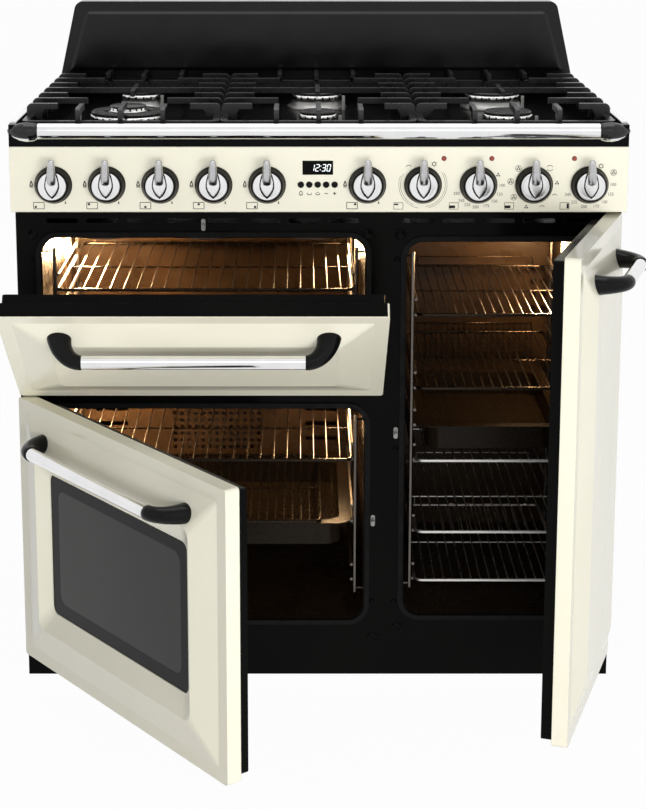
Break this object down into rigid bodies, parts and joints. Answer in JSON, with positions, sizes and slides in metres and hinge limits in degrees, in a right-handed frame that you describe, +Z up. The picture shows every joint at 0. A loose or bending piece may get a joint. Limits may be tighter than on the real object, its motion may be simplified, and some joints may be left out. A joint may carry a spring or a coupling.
{
  "type": "range cooker",
  "caption": "Free-standing range cooker: gas hob with cast pan supports over a grill, a windowed oven and a tall oven with hinged doors, bar handles and lever knobs.",
  "frame": {"origin": "on the floor under the middle of the body's footprint", "axes": "+Z up, -Y towards the person cooking, +X to that person's right"},
  "size_m": [0.9172, 1.0377, 1.033],
  "materials": {
    "cream_enamel": "gloss vitreous enamel on pressed steel",
    "black_enamel": "gloss black enamel on pressed steel",
    "oven_enamel": "dark brown oven enamel",
    "hob_enamel": "gloss black hob enamel",
    "cap_enamel": "matt black burner enamel",
    "pan_enamel": "speckled black enamel",
    "zinc_sheet": "galvanised sheet",
    "zinc_tube": "plated steel tube",
    "bright_steel": "zinc plated",
    "heater_steel": "heat-stained steel",
    "chrome": "polished chrome plate",
    "chrome_wire": "chrome plated wire",
    "knob_finish": "chrome disc and lever on a dark skirt",
    "brass": "machined brass",
    "burner_alloy": "cast aluminium",
    "cast_iron": "matt black enamelled iron",
    "ceramic": "white ceramic",
    "black_plastic": "moulded",
    "clock_plastic": "smoked window",
    "gloss_black": "gloss moulded",
    "red_lens": "clear red lens",
    "seal_rubber": "woven and moulded seal",
    "door_glass": "dark tinted glass"
  },
  "bodies": {
    "body": {"side_panels": "black_enamel", "back_panel": "zinc_sheet", "base_plate": "zinc_sheet", "plinth": "black_enamel", "front_frame": "black_enamel", "grill_cavity": "oven_enamel", "main_cavity": "oven_enamel", "tall_cavity": "oven_enamel", "feet": "black_plastic", "control_panel": "cream_enamel", "clock_module": "clock_plastic", "indicator_lamps": "red_lens", "control_spindles": "brass", "gas_supply_pipe": "zinc_tube", "hob_plate": "hob_enamel", "hob_edge_trims": "chrome", "hob_end_caps": "black_plastic", "backsplash": "hob_enamel", "burner_bases": "burner_alloy", "burner_caps": "cap_enamel", "spark_igniters": "ceramic", "door_fittings": "bright_steel", "door_seals": "seal_rubber", "oven_racks": "chrome_wire", "runner_ladders": "chrome_wire", "oven_pans": "pan_enamel", "fan_cover": "oven_enamel", "heating_element": "heater_steel"},
    "grill_door": {"grill_door_skin": "cream_enamel", "grill_door_liner": "black_enamel", "grill_handle_bar": "chrome", "grill_handle_brackets": "gloss_black"},
    "main_door": {"main_door_skin": "cream_enamel", "main_door_liner": "black_enamel", "main_handle_bar": "chrome", "main_handle_brackets": "gloss_black", "main_door_glass": "door_glass"},
    "tall_door": {"tall_door_skin": "cream_enamel", "tall_door_liner": "black_enamel", "tall_handle_bar": "chrome", "tall_handle_brackets": "gloss_black"},
    "knob_1": {"knob_1": "knob_finish"},
    "knob_2": {"knob_2": "knob_finish"},
    "knob_3": {"knob_3": "knob_finish"},
    "knob_4": {"knob_4": "knob_finish"},
    "knob_5": {"knob_5": "knob_finish"},
    "knob_6": {"knob_6": "knob_finish"},
    "knob_7": {"knob_7": "knob_finish"},
    "knob_8": {"knob_8": "knob_finish"},
    "knob_9": {"knob_9": "knob_finish"},
    "knob_10": {"knob_10": "knob_finish"},
    "clock_button_1": {"clock_button_1": "gloss_black"},
    "clock_button_2": {"clock_button_2": "gloss_black"},
    "clock_button_3": {"clock_button_3": "gloss_black"},
    "clock_button_4": {"clock_button_4": "gloss_black"},
    "clock_button_5": {"clock_button_5": "gloss_black"},
    "grate_left": {"grate_left": "cast_iron"},
    "grate_centre": {"grate_centre": "cast_iron"},
    "grate_right": {"grate_right": "cast_iron"},
    "fan": {"fan_impeller": "heater_steel"}
  },
  "joints": [
    {"name": "grill_door_hinge", "type": "hinge", "parent": "body", "child": "grill_door", "pos_m": [-0.17475, -0.288, 0.502], "axis": [1, 0, 0], "range_deg": [-51, 22]},
    {"name": "main_door_hinge", "type": "hinge", "parent": "body", "child": "main_door", "pos_m": [-0.434, -0.288, 0.28], "axis": [0, 0, -1], "range_deg": [-53, 47]},
    {"name": "tall_door_hinge", "type": "hinge", "parent": "body", "child": "tall_door", "pos_m": [0.434, -0.288, 0.42], "axis": [0, 0, 1], "range_deg": [-72, 28]},
    {"name": "knob_1_turn", "type": "hinge", "parent": "body", "child": "knob_1", "pos_m": [-0.3865, -0.301, 0.81], "axis": [0, -1, 0], "range_deg": [0, 210]},
    {"name": "knob_2_turn", "type": "hinge", "parent": "body", "child": "knob_2", "pos_m": [-0.3087, -0.301, 0.81], "axis": [0, -1, 0], "range_deg": [0, 210]},
    {"name": "knob_3_turn", "type": "hinge", "parent": "body", "child": "knob_3", "pos_m": [-0.2309, -0.301, 0.81], "axis": [0, -1, 0], "range_deg": [0, 210]},
    {"name": "knob_4_turn", "type": "hinge", "parent": "body", "child": "knob_4", "pos_m": [-0.1531, -0.301, 0.81], "axis": [0, -1, 0], "range_deg": [0, 210]},
    {"name": "knob_5_turn", "type": "hinge", "parent": "body", "child": "knob_5", "pos_m": [-0.0753, -0.301, 0.81], "axis": [0, -1, 0], "range_deg": [0, 210]},
    {"name": "knob_6_turn", "type": "hinge", "parent": "body", "child": "knob_6", "pos_m": [0.0708, -0.301, 0.81], "axis": [0, -1, 0], "range_deg": [0, 210]},
    {"name": "knob_7_turn", "type": "hinge", "parent": "body", "child": "knob_7", "pos_m": [0.1517, -0.301, 0.81], "axis": [0, 1, 0], "range_deg": [0, 290]},
    {"name": "knob_8_turn", "type": "hinge", "parent": "body", "child": "knob_8", "pos_m": [0.2326, -0.301, 0.81], "axis": [0, 1, 0], "range_deg": [0, 290]},
    {"name": "knob_9_turn", "type": "hinge", "parent": "body", "child": "knob_9", "pos_m": [0.3135, -0.301, 0.81], "axis": [0, 1, 0], "range_deg": [0, 290]},
    {"name": "knob_10_turn", "type": "hinge", "parent": "body", "child": "knob_10", "pos_m": [0.3944, -0.301, 0.81], "axis": [0, 1, 0], "range_deg": [0, 290]},
    {"name": "clock_button_1_press", "type": "slide", "parent": "body", "child": "clock_button_1", "axis": [0, 1, 0], "range_m": [0, 0.0015], "stiffness_N_per_m": 300, "springref_m": -0.001},
    {"name": "clock_button_2_press", "type": "slide", "parent": "body", "child": "clock_button_2", "axis": [0, 1, 0], "range_m": [0, 0.0015], "stiffness_N_per_m": 300, "springref_m": -0.001},
    {"name": "clock_button_3_press", "type": "slide", "parent": "body", "child": "clock_button_3", "axis": [0, 1, 0], "range_m": [0, 0.0015], "stiffness_N_per_m": 300, "springref_m": -0.001},
    {"name": "clock_button_4_press", "type": "slide", "parent": "body", "child": "clock_button_4", "axis": [0, 1, 0], "range_m": [0, 0.0015], "stiffness_N_per_m": 300, "springref_m": -0.001},
    {"name": "clock_button_5_press", "type": "slide", "parent": "body", "child": "clock_button_5", "axis": [0, 1, 0], "range_m": [0, 0.0015], "stiffness_N_per_m": 300, "springref_m": -0.001},
    {"name": "grate_left_lift", "type": "slide", "parent": "body", "child": "grate_left", "axis": [0, 0, 1], "range_m": [0, 0.1]},
    {"name": "grate_centre_lift", "type": "slide", "parent": "body", "child": "grate_centre", "axis": [0, 0, 1], "range_m": [0, 0.1]},
    {"name": "grate_right_lift", "type": "slide", "parent": "body", "child": "grate_right", "axis": [0, 0, 1], "range_m": [0, 0.1]},
    {"name": "fan_spin", "type": "hinge", "parent": "body", "child": "fan", "pos_m": [-0.171, 0.15, 0.318], "axis": [0, 1, 0], "continuous": true}
  ]
}
